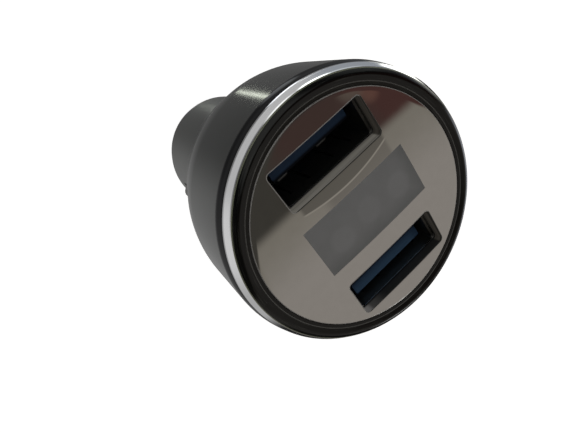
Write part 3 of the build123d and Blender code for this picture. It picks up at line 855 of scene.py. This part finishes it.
roll_radius = ring_radius - 0.035
roll_end = (roll_radius, ring_low + roll_height)
groove_floor = (roll_radius - 0.01 - groove_depth, ring_low + roll_height + groove_width / 2)
face_start = (roll_radius - 0.02, ring_low + roll_height + groove_width)
face_end = (ring_lip_radius + lip_width, ring_top - lip_height)
bm, corners = start_outline([
    (ring_inner_radius, ring_low), (ring_radius, ring_low), roll_end, groove_floor, face_start, face_end,
    (ring_lip_radius, ring_top), (ring_inner_radius, ring_top),
])
round_corner(bm, corners[2], 0.02, 2)
round_corner(bm, corners[4], 0.30, 10)
round_corner(bm, corners[5], 0.04, 3)
turn(bm)
place_piece("silver_ring", bm, "trim", "housing", "trim_ring")

bezel_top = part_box("bezel_ring")[1].z / mm
bezel_bore = 13.67
bezel_outer = 14.95
bezel_crown_radius = 14.85
slant_foot = (14.15, 22.37)
bore_rim = (bezel_bore, 22.35)
bm, corners = start_outline([
    (bezel_bore, ring_low), (bezel_outer, ring_low), (bezel_outer, ring_top), (ring_lip_radius, ring_top),
    (bezel_crown_radius, bezel_top), slant_foot, bore_rim,
])
round_corner(bm, corners[3], 0.06, 3)
round_corner(bm, corners[4], 0.22, 8)
round_corner(bm, corners[5], 0.06, 3)
turn(bm)
place_piece("black_bezel", bm, "bezel", "housing", "bezel_ring")

# %% [markdown]
# ## Cutting openings
# A slot in a domed face could be modelled by laying the grid of faces round it, but then its rounded
# corners spoil the even rings that a clear dome needs. A Boolean cut keeps the rings, and the cutter is
# thrown away.

# %% Cut openings
def rounded_bar(width, depth, low, high, y=0.0, corner=0.0):
    """A closed upright bar in mm, with its upright edges rounded."""
    bm = bmesh.new()
    bmesh.ops.create_cube(bm, size=1.0)
    bmesh.ops.scale(bm, verts=bm.verts, vec=(width * mm, depth * mm, (high - low) * mm))
    bmesh.ops.translate(bm, verts=bm.verts, vec=(0, y * mm, (low + high) / 2 * mm))
    if corner:
        half_height = (high - low) / 2 * mm
        upright = [e for e in bm.edges if abs(e.verts[0].co.z - e.verts[1].co.z) > half_height]
        bmesh.ops.bevel(
            bm, geom=upright, offset=corner * mm, segments=6, profile=0.5, affect="EDGES",
            offset_type="OFFSET", clamp_overlap=True, material=-1,
        )
    return bm


def loose_object(name, bm):
    """An object that is only used while cutting."""
    mesh = bpy.data.meshes.new(name)
    bm.to_mesh(mesh)
    bm.free()
    made = bpy.data.objects.new(name, mesh)
    bpy.context.scene.collection.objects.link(made)
    return made


def cut(bm, cutters):
    """The mesh with each cutter's volume taken away, as a new bmesh."""
    body = loose_object("work_body", bm)
    tools = [loose_object(f"work_tool_{i}", cutter) for i, cutter in enumerate(cutters)]
    for tool in tools:
        step = body.modifiers.new(tool.name, "BOOLEAN")
        step.object = tool
        step.operation = "DIFFERENCE"
        step.solver = "EXACT"
    graph = bpy.context.evaluated_depsgraph_get()
    result = bmesh.new()
    result.from_mesh(body.evaluated_get(graph).to_mesh())
    for made in [body, *tools]:
        mesh = made.data
        bpy.data.objects.remove(made)
        bpy.data.meshes.remove(mesh)
    return result


print("cutting ready")

# %% [markdown]
# ## The face
# The face is 2 mm of acrylic with a slightly domed front, which bends the reflections a little, as a flat
# mirror would not. The dome could be one wide arc, but its outline is split into even steps, so that its
# shading stays smooth round the openings. The piece is a closed solid, so that light bends on its way
# through the window. Its back reaches a hair into the film.

# %% Turn and cut the face
lens_radius = face_radius / mm
lens_apex = face_top / mm
lens_back = face_back / mm - 0.01
dome_rings = 22


def crown(radius):
    """The height of the domed front at a radius."""
    return lens_apex - crown_radius + math.sqrt(crown_radius**2 - radius**2)


dome_radii = [lens_radius * i / dome_rings for i in range(dome_rings, -1, -1)]
dome = [(radius, crown(radius)) for radius in dome_radii]
bm, corners = start_outline([(0, lens_back), (lens_radius, lens_back), *dome])
round_corner(bm, corners[2], 0.08, 3)
turn(bm)
slot_sizes = (slot_width / mm, slot_height / mm, lens_back - 1, lens_apex + 1)
slot_places = (-port_offset / mm, port_offset / mm)
bm = cut(bm, [rounded_bar(*slot_sizes, y=place, corner=slot_corner / mm) for place in slot_places])
place_piece("clear_face", bm, "lens", "housing", "face_lens")

# %% [markdown]
# ## The barrel
# The barrel is a thin tube with a window on each side for a bowed contact, and its flange is caught inside
# the head. Both windows are cut by one bar that runs right through.

# %% Turn the barrel
barrel_end = -24.5
barrel_radius = 10.4
barrel_end_radius = 10.1
barrel_bore = 9.2
taper_start = -8.0
collar_radius = 10.2
flange_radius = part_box("barrel")[1].x / mm
flange_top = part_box("barrel")[1].z / mm
bm, corners = start_outline([
    (barrel_bore, barrel_end), (barrel_end_radius, barrel_end), (barrel_radius, taper_start),
    (barrel_radius, 0), (collar_radius, 0), (collar_radius, shell_floor), (flange_radius, shell_floor),
    (flange_radius, flange_top), (barrel_bore, flange_top),
])
round_corner(bm, corners[1], 0.5, 5)
turn(bm)
contact_window_low = -19.7
contact_window_high = -8.3
contact_window_width = 4.4
right_through = 30
bm = cut(bm, [rounded_bar(right_through, contact_window_width, contact_window_low, contact_window_high)])
place_piece("plug_barrel_tube", bm, "barrel", "housing", "barrel")

# %% [markdown]
# ## The nose and the tip
# The nose closes the barrel's end. A sleeve on it fits inside the tube, and its hole lets the tip's round
# end out but holds its flange. The tip rides on a body of its own, because it slides.

# %% Turn the nose and the tip
nose_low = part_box("nose_cap")[0].z / mm
nose_floor = nose_low + 3.0
nose_bore = 5.5
nose_hole = 3.36
nose_end_radius = 6.5
nose_radius = 9.7
sleeve_radius = 9.15
sleeve_bore = 7.6
sleeve_top = barrel_end + 2.2
cone_top = barrel_end - 1.5
bm, corners = start_outline([
    (nose_bore, nose_floor), (nose_hole, nose_floor), (nose_hole, nose_low), (nose_end_radius, nose_low),
    (nose_radius, cone_top), (nose_radius, barrel_end), (sleeve_radius, barrel_end),
    (sleeve_radius, sleeve_top), (sleeve_bore, sleeve_top), (sleeve_bore, barrel_end),
    (nose_bore, cone_top),
])
round_corner(bm, corners[3], 0.55, 6)
round_corner(bm, corners[4], 0.2, 4)
round_corner(bm, corners[2], 0.08, 3)
turn(bm)
place_piece("plug_nose", bm, "nose", "housing", "nose_cap")

tip_low, tip_high = (corner.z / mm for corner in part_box("centre_tip"))
tip_radius = 3.3
tip_pin_radius = 1.8
tip_flange = 4.6
tip_flange_low = nose_floor + 0.05
tip_flange_high = tip_flange_low + 1.4
bm, corners = start_outline([
    (0, tip_low), (tip_radius, tip_low), (tip_radius, tip_flange_low), (tip_flange, tip_flange_low),
    (tip_flange, tip_flange_high), (tip_pin_radius, tip_flange_high), (tip_pin_radius, tip_high),
    (0, tip_high),
])
round_corner(bm, corners[1], 1.6, 10)
turn(bm)
place_piece("centre_pin", bm, "spring_metal", "tip", "centre_tip")

# %% [markdown]
# ## The tip's spring
# The tip slides into the nose against a coil spring. A imported part is rigid, so at full travel the tip
# would cut into it. The coil is spun again here, by a spin that also climbs a little at each step, and given
# a mesh of its own. The share of its length that is left when the tip is pressed is worked out, but nothing
# here squashes it.

# %% Wind the spring
spring_low, spring_high = (corner.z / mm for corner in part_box("tip_spring"))
spring_radius = 2.4
wire_radius = 0.2
wire_sides = 16
turns = 4
steps_a_turn = 40
steps = turns * steps_a_turn
climb = (spring_high - spring_low - 2 * wire_radius) / steps
bm = bmesh.new()
wire_start = Matrix.Translation((spring_radius * mm, 0, (spring_low + wire_radius) * mm))
upright = Matrix.Rotation(math.pi / 2, 4, "X")
bmesh.ops.create_circle(bm, segments=wire_sides, radius=wire_radius * mm, matrix=wire_start @ upright)
bmesh.ops.spin(
    bm, geom=bm.edges[:], cent=(0, 0, 0), axis=(0, 0, 1), dvec=(0, 0, climb * mm),
    angle=2 * math.pi * turns, steps=steps,
)
bmesh.ops.holes_fill(bm, edges=bm.edges, sides=wire_sides)
bmesh.ops.recalc_face_normals(bm, faces=bm.faces)
coil = place_piece("tip_coil", bm, "steel", "housing", "tip_spring")

plate_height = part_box("spring_plate")[0].z / mm
tip_travel = 2.5
spring_room = plate_height - tip_flange_high
left_share = (spring_room - tip_travel) / spring_room
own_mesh(coil)
print("spring from", round(spring_low, 2), "to", round(spring_high, 2), "mm")
print("share of its length left when pressed:", round(left_share, 3))

# %% [markdown]
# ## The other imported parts
# Flat boards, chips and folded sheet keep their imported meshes: their faces are flat, so their shading is
# already right, and they only need their finishes.

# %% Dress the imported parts
for row in frame["record"]["subparts"]:
    part = nodes[row["node"]]
    part.data.materials.clear()
    part.data.materials.append(finishes[row["material_slot"]])

# %% [markdown]
# ## The size
# Both boxes, of the imported parts and of the finished model, are printed on the last line. The finished
# model may not grow past the imported parts.

# %% Print the sizes
boxes = {"cad": [list(corner) for corner in cad_box], "visual": [list(corner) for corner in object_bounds()]}
print("boxes in mm:", {name: [[round(x / mm, 2) for x in c] for c in pair] for name, pair in boxes.items()})
